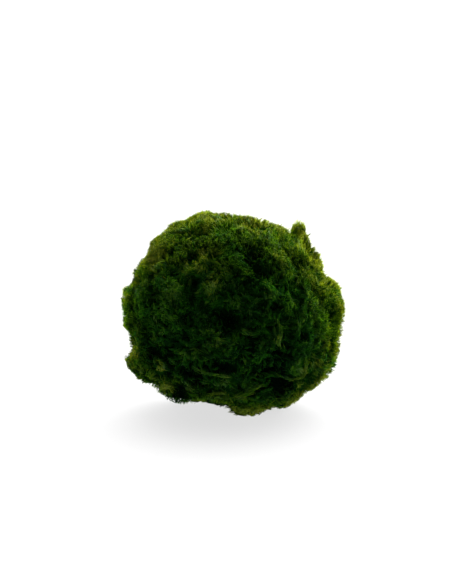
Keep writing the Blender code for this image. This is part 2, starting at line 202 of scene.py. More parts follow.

# Patches of the front: right of and above the middle, radius, how much lighter, how much yellower,
# and in some the way that their locks are laid, in degrees from the right
# Their lightness and yellowness are partly the moss's own and partly painted light and shade: knolls and lit
# parts lighter and yellower, pits and shaded gaps darker
FRONT_PATCHES = (
    # Knolls
    (-4.2, 5.2, 1.5, 0.28, 0.2, 250), (-5.8, 11.1, 1.6, 0.3, 0.5, 280), (-8.6, 9.3, 1.3, 0.13, 0.4, 240),
    (0.3, 11.5, 1.1, 0.1, 0.2, 320), (7.0, 5.1, 1.3, 0.02, 0.2, 305), (9.0, -4.4, 1.2, 0.1, 0.1, 95),
    (8.6, 11.0, 1.2, 0.12, 0.3), (10.5, 11.6, 1.6, 0.08, 0.2, 270), (-11.5, 4.3, 2.0, 0.1, 0.1),
    (-12.1, 1.1, 1.3, 0.07, 0.1, 60), (-6.7, -7.3, 1.2, 0.07, 0.0, 300), (-5.2, -9.0, 1.1, 0.06, 0.0, 0),
    (-14.1, -10.7, 1.2, 0.56, 0.3, 100), (-13.2, -14.8, 1.3, 0.32, 0.3, 10),
    (12.2, -11.3, 1.4, 0.09, 0.0, 12), (3.7, -15.4, 1.8, 0.08, 0.1, 30), (5.8, -18.9, 1.3, 0.08, 0.2),
    (-1.0, -16.4, 2.6, 0.07, 0.0, 0), (16.6, 7.2, 2.4, 0.05, 0.3),
    # Lighter parts
    (-15.2, 12.0, 2.2, 0.22, 0.5, 200), (15.5, 3.0, 4.5, -0.01, 0.45), (11.5, 8.5, 3.5, 0.04, 0.1),
    (-12.5, 12.5, 4.5, 0.02, 0.3), (0.0, -14.5, 4.0, 0.08, 0.0), (14.0, -13.0, 3.0, 0.05, 0.1),
    (-21.0, -9.8, 0.9, 0.14, 0.5, 280), (-19.8, -6.2, 0.9, 0.04, 0.3), (16.4, 10.4, 1.8, 0.08, 0.2),
    (-21.8, 3.2, 1.0, -0.04, 0.5), (-19.4, -7.9, 0.9, 0.24, 0.6), (-19.9, -7.2, 0.9, 0.22, 0.6),
    (-4.0, 17.6, 2.0, 0.19, 0.0), (4.0, 17.4, 2.0, 0.21, 0.0), (17.4, 5.4, 1.8, 0.06, 0.1),
    (15.6, -9.8, 2.0, 0.13, 0.1), (17.5, -13.0, 1.2, 0.24, 0.5), (15.5, -15.1, 1.2, 0.22, 0.7),
    (13.5, -16.7, 1.2, 0.24, 0.7), (11.6, -17.9, 1.1, 0.22, 0.7), (4.5, -19.9, 1.2, 0.2, 0.5),
    (7.2, -19.0, 1.2, 0.18, 0.5), (1.0, -19.8, 1.0, 0.2, 0.5), (16.4, -9.6, 1.5, 0.08, 0.0),
    (3.0, -19.4, 1.4, 0.12, 0.3), (-13.0, -0.5, 4.0, 0.05, 0.0), (-7.0, -2.8, 2.5, 0.05, 0.0),
    (0.0, -11.6, 3.0, 0.05, 0.0), (21.5, 0.0, 1.2, 0.08, 0.3), (1.6, 15.5, 1.6, 0.16, 0.0),
    (4.7, 14.6, 1.4, 0.12, 0.0), (1.9, 19.0, 1.2, 0.08, 0.0), (-1.8, 18.0, 1.2, 0.1, 0.0),
    (-15.2, 10.6, 1.7, 0.19, 0.2), (-16.8, 11.6, 1.2, 0.08, 0.1), (13.0, -14.4, 1.4, 0.1, 0.1),
    (-5.1, -15.6, 1.4, 0.12, 0.0), (15.7, -11.3, 1.5, 0.1, 0.0), (17.2, 3.6, 1.4, 0.1, 0.0),
    (9.5, 16.2, 1.0, 0.1, 0.0), (20.9, -6.6, 1.7, 0.02, 0.6),
    # Darker parts
    (20.0, -8.9, 1.3, -0.15, 0.1), (19.2, -4.1, 1.3, -0.14, 0.0), (-1.6, 15.6, 1.5, -0.15, 0.0),
    (-18.8, 8.6, 1.1, -0.18, 0.0), (-20.3, 4.2, 1.1, -0.18, 0.0), (5.8, -17.8, 1.0, -0.13, 0.0),
    (20.3, 4.3, 1.1, -0.14, 0.0), (-18.7, -12.0, 1.6, -0.1, -0.4), (-16.6, -13.4, 1.0, -0.08, -0.3),
    (-18.9, -9.8, 1.1, -0.08, -0.3), (1.5, 12.7, 3.0, -0.12, -0.1), (2.8, 8.4, 2.6, -0.13, -0.1),
    (-19.4, 1.0, 1.8, -0.12, 0.0), (19.0, 0.2, 2.4, -0.12, 0.0), (-21.8, 0.6, 1.4, -0.1, 0.0),
    (10.2, 4.6, 1.2, -0.12, 0.0), (1.5, -6.0, 3.5, -0.04, -0.1), (6.5, -6.5, 3.0, -0.06, -0.1),
    (-21.0, -2.0, 4.2, -0.18, 0.2), (19.5, -3.0, 4.0, -0.05, 0.2), (-17.0, -8.0, 1.8, -0.1, 0.0),
    (19.9, -10.6, 1.2, -0.16, 0.0), (-2.0, 14.4, 2.0, -0.04, -0.1),
    # Pits and shaded gaps
    (-3.0, -0.4, 1.1, -0.18, -0.3), (-1.2, -0.8, 1.3, -0.2, -0.3), (0.4, -0.9, 1.0, -0.16, -0.3),
    (-1.9, -3.2, 1.1, -0.14, -0.3), (2.3, 6.0, 0.7, -0.14, -0.2), (-7.4, 3.0, 0.7, -0.12, -0.2),
    (5.6, 1.8, 0.7, -0.12, -0.2), (-2.7, -6.9, 0.6, -0.14, -0.2), (-11.6, -5.1, 0.6, -0.14, -0.2),
    (-8.9, -0.9, 1.2, -0.16, -0.3), (-7.5, 1.1, 1.0, -0.14, -0.3), (8.5, 1.7, 0.7, -0.2, -0.4),
    (7.0, -2.5, 1.1, -0.12, -0.4), (7.6, -10.8, 1.6, -0.26, -0.5), (9.3, -15.6, 2.1, -0.26, -0.5),
    (11.0, -14.3, 1.0, -0.22, -0.5), (10.4, -8.4, 1.4, -0.18, -0.3), (-8.1, -11.9, 1.6, -0.24, -0.5),
    (-6.2, -13.3, 1.2, -0.2, -0.4), (-4.2, -10.2, 1.2, -0.18, -0.4), (-1.4, -10.4, 1.2, -0.16, -0.4),
    (-12.7, -12.2, 1.0, -0.2, -0.4), (-11.6, -16.9, 1.5, -0.36, -0.4), (-9.3, -16.6, 1.5, -0.34, -0.4),
    (-15.6, -7.4, 1.0, -0.16, -0.3), (-13.0, -9.4, 0.8, -0.16, -0.3), (13.1, -4.6, 0.8, -0.16, -0.3),
    (2.0, -18.3, 1.0, -0.3, -0.2), (5.3, -16.1, 0.8, -0.24, -0.2), (17.8, -12.0, 0.7, -0.12, -0.2),
    (1.8, 12.7, 2.2, -0.06, -0.1), (4.4, 10.2, 1.4, -0.05, -0.1), (13.2, 9.9, 1.5, -0.16, -0.4),
    (9.7, 8.9, 0.7, -0.12, -0.2), (7.4, 7.6, 1.4, -0.03, -0.1), (-6.9, 6.3, 1.1, -0.14, -0.3),
    (-8.3, 10.9, 1.0, -0.16, -0.2), (12.3, 15.1, 0.8, -0.34, 0.0), (-10.6, 14.8, 1.4, -0.08, -0.2),
    (-12.0, 7.4, 1.4, -0.08, -0.2), (-20.0, 5.4, 0.8, -0.12, 0.0),
)
# Single locks of the front, lighter partly by their own tone and partly as painted highlights where they
# catch the light: right of and above the middle at both ends, the bend between, half the width, how much
# lighter they are, and 1 in those of the cool green
FRONT_LOCKS = (
    # Lower right
    (8.6, -1.2, 9.1, -4.2, 0.1, 0.35, 0.28), (9.2, -4.0, 9.2, -6.6, -0.4, 0.4, 0.46),
    (1.8, -3.2, 5.2, -3.8, -0.3, 0.35, 0.18, 1), (0.2, -5.4, 1.2, -3.4, 0.2, 0.4, 0.18),
    (12.7, -1.0, 12.1, -5.0, 0.2, 0.25, 0.16, 1), (15.0, -4.6, 15.0, -6.8, 0.1, 0.3, 0.16, 1),
    (16.3, -3.8, 19.0, -5.2, -0.2, 0.3, 0.18), (14.1, -9.0, 14.1, -11.6, 0.15, 0.3, 0.24),
    (9.7, -12.3, 12.0, -13.0, -0.15, 0.25, 0.34, 1), (11.8, -13.0, 14.3, -11.4, -0.3, 0.25, 0.24),
    (5.0, -11.5, 9.9, -12.7, 0.3, 0.3, 0.3), (11.0, -10.5, 12.2, -11.2, 0.0, 0.5, 0.26),
    (11.7, -8.5, 12.5, -9.0, 0.1, 0.3, 0.22, 1), (15.4, -9.6, 15.4, -11.2, 0.1, 0.25, 0.18, 1),
    (2.0, -14.2, 2.5, -12.2, 0.0, 0.25, 0.22, 1), (1.3, -11.5, 2.7, -10.7, 0.0, 0.3, 0.18),
    (4.9, -11.3, 5.9, -13.2, 0.1, 0.2, 0.18, 1), (2.3, -15.5, 6.2, -13.9, 0.3, 0.4, 0.26),
    (5.4, -15.6, 7.3, -14.6, 0.1, 0.25, 0.18, 1), (0.3, -16.8, 3.8, -15.5, 0.3, 0.45, 0.22),
    (4.5, -17.0, 6.6, -16.9, 0.1, 0.2, 0.2, 1), (0.6, -19.4, 3.4, -18.9, 0.4, 0.3, 0.24),
    (3.7, -18.3, 3.8, -19.6, 0.1, 0.25, 0.24, 1), (4.4, -19.2, 7.9, -18.9, 0.1, 0.35, 0.26),
    (10.6, -18.0, 12.3, -17.0, 0.1, 0.4, 0.18), (12.6, -17.0, 14.0, -16.0, 0.0, 0.35, 0.26),
    (14.8, -15.5, 16.4, -14.6, 0.0, 0.35, 0.26), (11.2, -15.4, 12.0, -15.9, 0.0, 0.2, 0.24, 1),
    (16.6, -9.4, 17.8, -10.8, 0.0, 0.4, 0.14), (6.3, -6.2, 6.9, -6.8, 0.0, 0.2, 0.14, 1),
    # Lower left
    (-21.0, -8.9, -19.8, -11.8, -0.2, 0.5, 0.18), (-18.4, -10.0, -17.8, -11.8, 0.1, 0.3, 0.2),
    (-14.4, -10.2, -13.5, -11.3, -0.1, 0.4, 0.34), (-13.2, -9.6, -13.6, -11.0, 0.0, 0.2, 0.26, 1),
    (-15.2, -8.4, -15.4, -9.9, 0.0, 0.2, 0.2, 1), (-13.5, -6.9, -12.9, -8.2, 0.0, 0.4, 0.18),
    (-12.8, -8.3, -11.0, -9.9, -0.1, 0.25, 0.22, 1), (-9.8, -13.4, -8.0, -15.3, -0.1, 0.28, 0.42, 1),
    (-15.0, -14.3, -12.2, -14.6, -0.2, 0.5, 0.24), (-7.2, -10.9, -4.2, -11.6, -0.1, 0.3, 0.42, 1),
    (-4.8, -11.5, -0.9, -12.3, 0.0, 0.22, 0.38, 1), (-8.7, -12.8, -7.5, -13.0, 0.0, 0.15, 0.24, 1),
    (-6.5, -13.4, -4.8, -13.5, 0.0, 0.15, 0.22, 1), (-2.4, -14.5, -1.2, -12.8, 0.1, 0.25, 0.2, 1),
    (-5.0, -16.0, -1.6, -15.8, 0.15, 0.25, 0.22), (-5.1, -16.7, -4.0, -16.8, 0.0, 0.25, 0.28, 1),
    (-3.9, -16.6, -2.2, -16.5, 0.1, 0.2, 0.24, 1), (-8.8, -15.8, -7.0, -16.9, 0.0, 0.4, 0.24),
    (-12.4, -17.4, -10.6, -17.8, 0.0, 0.25, 0.26, 1), (-1.2, -18.5, 0.4, -19.7, 0.1, 0.4, 0.26),
    (-10.3, -1.6, -9.1, -2.7, 0.0, 0.3, 0.2, 1), (-12.6, 0.2, -10.8, -1.2, 0.0, 0.5, 0.2),
    (-11.9, -2.2, -11.6, -3.4, 0.0, 0.25, 0.16, 1), (-12.0, -4.5, -10.5, -4.4, 0.1, 0.25, 0.16, 1),
    (-9.9, -5.2, -8.3, -6.0, 0.0, 0.25, 0.2, 1), (-7.6, -7.0, -6.2, -7.8, 0.0, 0.5, 0.2),
    (-6.2, -8.8, -4.8, -9.0, 0.0, 0.5, 0.16), (-6.0, -4.4, -5.0, -3.1, 0.0, 0.3, 0.18, 1),
    (-3.4, -4.7, -0.4, -5.3, -0.1, 0.25, 0.2, 1), (-1.8, -7.2, -0.4, -7.8, 0.0, 0.5, 0.16),
    (-15.2, -3.8, -14.8, -5.6, 0.0, 0.4, 0.16), (-18.8, -1.8, -18.4, -4.4, 0.0, 0.3, 0.12),
    (-17.0, -6.4, -16.9, -7.6, 0.0, 0.2, 0.18, 1),
    # Upper left
    (-5.8, 6.1, -4.4, 4.2, 0.0, 0.45, 0.28), (-3.0, 6.4, -4.2, 4.2, 0.0, 0.45, 0.28),
    (-2.6, 5.0, -1.4, 5.8, 0.0, 0.3, 0.22), (-6.6, 12.3, -5.2, 10.4, -0.1, 0.45, 0.22),
    (-9.2, 9.8, -8.0, 8.2, -0.1, 0.5, 0.18), (-17.2, 9.6, -14.6, 8.2, 0.1, 0.35, 0.26),
    (-15.4, 9.3, -14.0, 8.6, 0.0, 0.2, 0.2, 1), (-17.4, 11.4, -16.3, 10.3, -0.2, 0.4, 0.24),
    (-16.2, 14.0, -15.4, 12.6, 0.2, 0.5, 0.2), (-14.2, 12.8, -14.1, 10.8, 0.1, 0.4, 0.2),
    (-13.3, 10.2, -13.0, 8.4, 0.0, 0.25, 0.16, 1), (-10.9, 12.5, -9.7, 12.8, 0.0, 0.2, 0.22, 1),
    (-7.9, 13.9, -7.2, 13.6, 0.0, 0.15, 0.3, 1), (-15.4, 3.1, -13.6, 2.9, 0.1, 0.3, 0.18, 1),
    (-13.4, 2.4, -12.2, 1.0, -0.1, 0.4, 0.16), (-11.2, 4.3, -9.9, 4.7, 0.0, 0.4, 0.14),
    (-8.5, 4.2, -8.1, 6.6, 0.0, 0.3, 0.12), (-12.0, 6.4, -11.3, 5.6, 0.0, 0.2, 0.18, 1),
    (-16.8, 6.6, -16.2, 5.4, 0.0, 0.4, 0.14), (-19.0, 5.2, -18.8, 3.0, 0.1, 0.25, 0.2, 1),
    (-6.4, 19.4, -5.9, 17.8, 0.0, 0.4, 0.16), (-4.2, 19.5, -3.0, 18.1, 0.0, 0.25, 0.18, 1),
    (-3.2, 19.5, -2.0, 18.2, 0.0, 0.2, 0.18, 1), (-7.4, 17.8, -5.8, 17.9, 0.1, 0.2, 0.16, 1),
    (-10.8, 16.2, -8.0, 16.1, 0.1, 0.2, 0.16, 1), (-9.6, 17.2, -8.8, 16.4, 0.0, 0.2, 0.16, 1),
    (-2.2, 9.2, -2.7, 8.8, 0.0, 0.15, 0.2, 1),
    # Upper right
    (8.2, 12.0, 8.4, 10.4, -0.1, 0.35, 0.24), (8.4, 10.6, 10.2, 10.5, -0.1, 0.3, 0.18),
    (5.3, 6.1, 7.0, 5.0, 0.2, 0.4, 0.22), (6.4, 5.6, 8.5, 2.8, 0.2, 0.4, 0.2),
    (1.0, 9.0, 2.6, 7.4, 0.0, 0.3, 0.16), (0.7, 11.1, 2.3, 10.7, 0.0, 0.3, 0.2, 1),
    (1.2, 12.6, 1.8, 12.3, 0.0, 0.2, 0.26, 1), (3.2, 1.2, 4.9, 2.7, 0.1, 0.3, 0.2, 1),
    (3.5, 0.9, 3.4, -0.6, 0.0, 0.3, 0.18, 1), (0.2, 1.6, 2.0, 2.0, 0.2, 0.25, 0.14),
    (8.9, 4.6, 9.3, 6.0, 0.0, 0.2, 0.1, 1), (10.8, 10.2, 11.7, 8.6, 0.0, 0.35, 0.18),
    (11.0, 3.0, 11.4, 2.2, 0.0, 0.25, 0.2, 1), (10.2, 1.8, 10.6, 0.0, 0.0, 0.3, 0.16),
    (13.4, 7.6, 12.2, 5.4, 0.0, 0.3, 0.16), (13.8, 5.2, 14.4, 3.4, 0.0, 0.35, 0.16),
    (14.2, 3.6, 14.0, 0.8, 0.0, 0.35, 0.16), (16.2, 9.9, 17.9, 9.5, 0.1, 0.5, 0.2),
    (15.4, 7.6, 16.4, 5.4, 0.0, 0.5, 0.16), (18.0, 5.4, 18.6, 4.2, 0.0, 0.3, 0.14),
    (10.2, 15.9, 10.6, 15.0, 0.0, 0.25, 0.24, 1), (6.9, 16.0, 7.2, 14.4, 0.0, 0.2, 0.22, 1),
    (14.4, 13.8, 14.2, 12.2, 0.0, 0.3, 0.22), (12.9, 14.6, 13.1, 12.4, 0.0, 0.3, 0.2),
    (9.0, 13.8, 8.6, 12.8, 0.0, 0.25, 0.18), (11.3, 13.0, 11.3, 11.4, 0.0, 0.25, 0.18),
    (2.6, 19.0, 3.2, 17.8, 0.0, 0.2, 0.18, 1), (5.0, 18.2, 5.8, 16.8, 0.0, 0.25, 0.16),
    (4.3, 16.6, 4.9, 15.2, 0.0, 0.25, 0.16), (1.2, 17.4, 1.8, 16.0, 0.0, 0.25, 0.14),
)
FRONT_LOCK_STEPS = 4
FRONT_LOCK_LEAST, FRONT_LOCK_CROWD = 5, 24  # threads in each, and more by its length and width
FRONT_LOCK_START, FRONT_LOCK_SHARE = (-0.25, 0.6), (0.3, 0.65)  # of its length, for each thread
FRONT_LOCK_FRIZZ, FRONT_LOCK_TONES_VARY = 0.05, 0.07
FRONT_LOCK_SPREAD = 0.7  # of half its width
FRONT_LOCK_HEIGHT, FRONT_LOCK_DIP = (-0.2, 0.25), 0.5  # over the CAD ball, and less at the ends
FRONT_LOCK_WIDER = 1.4  # than the fuzz
FRONT_LOCK_JUMP = 1.0  # a thread with a longer step has left the ball and is dropped
LAID_PULL = 3.0  # of the patches that lay their locks
PIT_SHORTENS = 2.2  # how much shorter the threads are where a patch is darker

# Where the threads reach farther out than the CAD ball along its outline in the picture, or less far:
# right of and above the middle, radius, how far
OUTLINE_SHIFTS = (
    (-18.4, -13.0, 1.2, 0.3), (-16.2, -14.3, 1.3, 1.0), (-15.5, -14.7, 1.0, 0.8), (-14.8, -15.4, 0.8, 0.5),
    (-13.6, -16.7, 0.9, -0.9), (-12.6, -17.6, 0.8, 0.3), (11.9, -18.3, 1.0, 0.25), (14.5, -16.2, 1.0, 0.35),
    (18.6, -13.2, 0.8, 0.8), (19.6, -11.8, 0.6, -0.45), (20.6, -10.2, 1.8, 0.7), (21.0, -5.6, 1.2, 0.6),
    (21.8, -1.8, 2.5, 0.35), (20.6, 6.3, 1.0, 0.4), (18.4, 8.0, 0.8, 0.3), (17.9, 9.4, 1.8, 0.9),
    (17.0, 11.9, 1.5, 0.35), (15.4, 14.2, 1.0, 0.3), (11.0, 16.6, 0.8, 0.5), (5.2, 18.5, 1.3, 1.0),
    (-1.7, 20.0, 1.2, -0.3), (-7.4, 19.7, 0.6, -0.3), (-8.9, 18.9, 1.0, 0.4), (-16.0, 14.9, 1.1, -0.5),
    (-17.0, 13.0, 0.8, -0.35), (-17.4, 10.9, 0.8, 0.5), (-19.9, 7.0, 0.8, 0.7), (-21.4, 5.3, 0.7, -0.6),
    (-22.0, 1.0, 2.5, 0.25), (-20.1, -5.2, 1.0, 1.0), (-20.4, -6.6, 0.7, 0.8), (-20.9, -7.6, 1.2, -1.4),
    (-21.0, -8.1, 0.8, -0.6),
)
SHIFT_THICK = 7.0  # how far a shift reaches towards the camera and away from it

# The greens, in the order of GREENS: deep, middling, yellow and cool, whose pale light tones are partly a
# painted sheen
MIDDLING, YELLOW, COOL_SHEEN = 1, 2, 3

# The bake map: the margin and the share of its width for the tones, half the width of a thread there,
# and the margin and the share of each green's band for the way along a thread
MAP_MARGIN, MAP_TONES, MAP_THREAD = 0.01, 0.97, 0.004
BAND_MARGIN, BAND_SHARE = 0.08, 0.84

rng = np.random.default_rng(SEED)


# Vector helpers on arrays of rows

def unit(rows):
    return rows / np.maximum(np.linalg.norm(rows, axis=-1, keepdims=True), 1e-9)


def dot(a, b):
    return np.sum(a * b, axis=-1, keepdims=True)


def rise(values, start, end):
    """0 before the start and 1 past the end, with a smooth way up between."""
    share = np.clip((values - start) / (end - start), 0, 1)
    return share * share * (3 - 2 * share)


def across(rows, normals):
    """The part of each row that lies along the surface."""
    return rows - normals * dot(rows, normals)


class Drift:
    """A smooth random field made of waves: one vector for each place, in millimetres."""

    def __init__(self, seed, size):
        draw = np.random.default_rng(seed)
        ways = unit(draw.normal(size=(WAVES, 3)))
        self.pitch = ways * (math.tau / size) * draw.uniform(*WAVE_PITCHES, (WAVES, 1))
        self.phase = draw.uniform(0, math.tau, (WAVES, 3))
        self.gain = WAVE_HEIGHT / math.sqrt(WAVES)

    def __call__(self, places):
        angles = places @ self.pitch.T
        sums = [np.sin(angles + phase).sum(axis=-1) for phase in self.phase.T]
        return self.gain * np.stack(sums, axis=-1)


# The ball's surface, from the CAD solid

def ball_mesh():
    """A merged copy of the CAD ball, in millimetres."""
    bm = bmesh.new()
    bm.from_mesh(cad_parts["moss_ball"].data)
    bmesh.ops.remove_doubles(bm, verts=bm.verts, dist=1e-6)
    bmesh.ops.scale(bm, vec=(1 / MM,) * 3, verts=bm.verts)
    bmesh.ops.triangulate(bm, faces=bm.faces)
    bm.normal_update()
    bm.verts.index_update()
    return bm


def tuft_frames():
    """Each tuft's foot, the way it stands, its length, its radius and its top's painted light."""
    for foot, lean, length, radius, light in TUFTS:
        yield (BALL_MIDDLE + RIGHT * foot[0] + UP * foot[1] + NEAR * foot[2],
               unit(RIGHT * lean[0] + UP * lean[1] + NEAR * lean[2]), length, radius, light)


def in_tufts(places):
    """1 inside a tuft and 0 well outside all of them."""
    inside = np.zeros(len(places))
    for foot, axis, length, radius, _ in tuft_frames():
        offset = places - foot - axis * length / 2
        along = offset @ axis
        beside = np.linalg.norm(offset - along[:, None] * axis, axis=1)
        away = np.hypot(along / (length / 2 + radius / 2), beside / radius)
        inside = np.maximum(inside, 1 - rise(away, *TUFT_EDGE))
    return inside


class Surface:
    """The ball's triangles, with what the threads need to know at each corner."""

    def __init__(self, bm):
        self.corners = np.array([v.co for v in bm.verts])
        self.faces = np.array([[v.index for v in f.verts] for f in bm.faces])
        self.ends = np.array([[v.index for v in e.verts] for e in bm.edges])
        self.normals = unit(self.eased(np.array([v.normal for v in bm.verts]), NORMAL_ROUNDS))
        self.ground = BVHTree.FromBMesh(bm)
        # How high each corner stands over the surface round it: above 0 on a knoll, below in a hollow
        wide = self.eased(self.corners, WIDE_ROUNDS)
        fine = dot(self.corners - self.eased(self.corners, NEAR_ROUNDS), self.normals)[:, 0]
        broad = dot(self.corners - wide, self.normals)[:, 0]
        steps = (fine * NEAR_COUNTS + broad * WIDE_COUNTS) / HOLLOW_SIZE
        self.level = np.clip(steps, -MOST_STEPS, MOST_STEPS)
        # The felt lies deep everywhere but where the ball rests, and doesn't follow the tufts.
        # It and its threads fill the creases, but not the pits
        self.depth = FELT_DEPTH * np.clip(self.corners[:, 2] / FELT_RISES_BELOW, FELT_LEAST_SHARE, 1)
        gap = dot(self.eased(self.corners, CREASE_ROUNDS) - self.corners, self.normals)[:, 0]
        pit = np.clip(-front_effects(self.corners)[0] / PIT_DARKNESS, 0, 1)
        self.filled = np.clip(gap, 0, 1) * (1 - pit) * off_floor(self.corners)
        right, above, near = ((self.corners - BALL_MIDDLE) @ way for way in (RIGHT, UP, NEAR))
        for x, y, radius, height in OUTLINE_SHIFTS:
            away = ((right - x) ** 2 + (above - y) ** 2) / radius ** 2 + (near / SHIFT_THICK) ** 2
            self.filled += height * np.exp(-away)
        self.depth -= self.filled
        self.tuft = in_tufts(self.corners) * rise(broad, *TUFT_STANDS)
        core = self.corners + (wide - self.corners) * self.tuft[:, None]
        self.sunk = core - self.normals * self.depth[:, None]

    def eased(self, rows, rounds):
        """The rows, each mixed with those of the corners next to it."""
        count = np.ones(len(rows))
        np.add.at(count, self.ends.ravel(), 1)
        for _ in range(rounds):
            total = rows.copy()
            np.add.at(total, self.ends[:, 0], rows[self.ends[:, 1]])
            np.add.at(total, self.ends[:, 1], rows[self.ends[:, 0]])
            rows = total / count[:, None]
        return rows

    def heights(self, places):
        """How high each place is over the ball, and the way up there."""
        found = [self.ground.find_nearest(place)[:2] for place in places]
        ways = np.array([way for _, way in found])
        return dot(places - np.array([spot for spot, _ in found]), ways), ways

    def seen(self, right, above):
        """The places that the camera sees there, the way up at each, and whether it sees any."""
        origins = (BALL_MIDDLE + RIGHT * right[..., None] + UP * above[..., None]).reshape(-1, 3)
        hits = [self.ground.ray_cast(Vector(origin + NEAR * SIGHT_FROM), Vector(-NEAR)) for origin in origins]
        spots = np.array([hit[0] or Vector() for hit in hits]).reshape(*right.shape, 3)
        ways = np.array([hit[1] or Vector() for hit in hits]).reshape(*right.shape, 3)
        return spots, ways, np.array([hit[0] is not None for hit in hits]).reshape(right.shape)

    def scatter(self, number, crowded=0.4, resting=False):
        """Random places, crowded on knolls, off the spot that the ball rests on or else only there:
        each place, its normal, its level, the felt's depth and how much the creases are filled."""
        a, b, c = (self.corners[self.faces[:, k]] for k in range(3))
        area = np.linalg.norm(np.cross(b - a, c - a), axis=1)
        weight = area * np.exp(crowded * self.level[self.faces].mean(axis=1))
        weight *= self.tuft[self.faces].max(axis=1) < TUFT_BARE
        weight[(self.corners[self.faces, 2] < RESTING_BELOW).all(axis=1) != resting] = 0
        face = self.faces[rng.choice(len(area), number, p=weight / weight.sum())]
        u, v = rng.random((2, number))
        over = u + v > 1
        u[over], v[over] = 1 - u[over], 1 - v[over]
        share = np.stack([1 - u - v, u, v], axis=1)

        def at(rows):
            return np.einsum("nk,nk...->n...", share, rows[face])

        return (at(self.corners), unit(at(self.normals)), at(self.level), at(self.depth), at(self.filled))

    def pressed(self, path, tips):
        """The paths, with all that stands higher over the ball than the tips pressed down to them."""
        height, up = self.heights(path[:, 1:].reshape(-1, 3))
        over = np.maximum(height[:, 0] - np.repeat(tips, path.shape[1] - 1), 0)
        path[:, 1:] -= (up * over[:, None]).reshape(path[:, 1:].shape)
        return path


# Kinds of place on the ball

def front_effects(places):
    """How much lighter and yellower the patches make each place, and the way they lay its locks."""
    offset = places - BALL_MIDDLE
    right, above = offset @ RIGHT, offset @ UP
    near = rise(offset @ NEAR, *PATCHES_RISE)
    lighter, yellower = np.zeros((2, len(places)))
    laid = np.zeros_like(places)
    for x, y, radius, light, yellow, *headings in FRONT_PATCHES:
        share = np.exp(-((right - x) ** 2 + (above - y) ** 2) / radius ** 2) * near
        lighter += light * share
        yellower += yellow * share
        for heading in headings:
            angle = math.radians(heading)
            laid += share[:, None] * (RIGHT * math.cos(angle) + UP * math.sin(angle)) * LAID_PULL
    return lighter, yellower, laid


def outwards(places):
    """The way out from the ball's middle to each place."""
    return unit(places - BALL_MIDDLE)


def on_crown(places):
    """1 on the crown, where the threads stand up, and 0 from a little above the middle down."""
    return rise(outwards(places) @ UP, *CROWN_RISES)


def matted(places):
    """1 low on the ball, where the threads lie in wet locks with gaps between, and 0 from the middle up."""
    return rise(outwards(places) @ UP, *MATTED_RISES)


def facing(places):
    """1 in the middle of the front, and 0 towards its edges and past them."""
    return rise(outwards(places) @ NEAR, *FRONT_RISES)


def off_floor(places):
    """0 on the floor, and 1 everywhere but close over it."""
    return np.clip(places[:, 2] / FLOOR_NEAR, 0, 1)


# Threads

def grown(roots, starts, lengths, steps, curl):
    """Paths that grow from their roots step by step, and curl."""
    path = np.empty((len(roots), steps + 1, 3))
    path[:, 0] = roots
    way = unit(starts)
    stride = (lengths / steps)[:, None]
    for k in range(steps):
        way = unit(way + curl(path[:, k]) * stride)
        path[:, k + 1] = path[:, k] + way * stride
    return path


def leaning(flow, normals, low, high):
    """Starting ways that lean from the normal by random angles, towards the flow."""
    lean = np.radians(rng.uniform(low, high, len(flow)))[:, None]
    return normals * np.cos(lean) + unit(across(flow, normals)) * np.sin(lean)


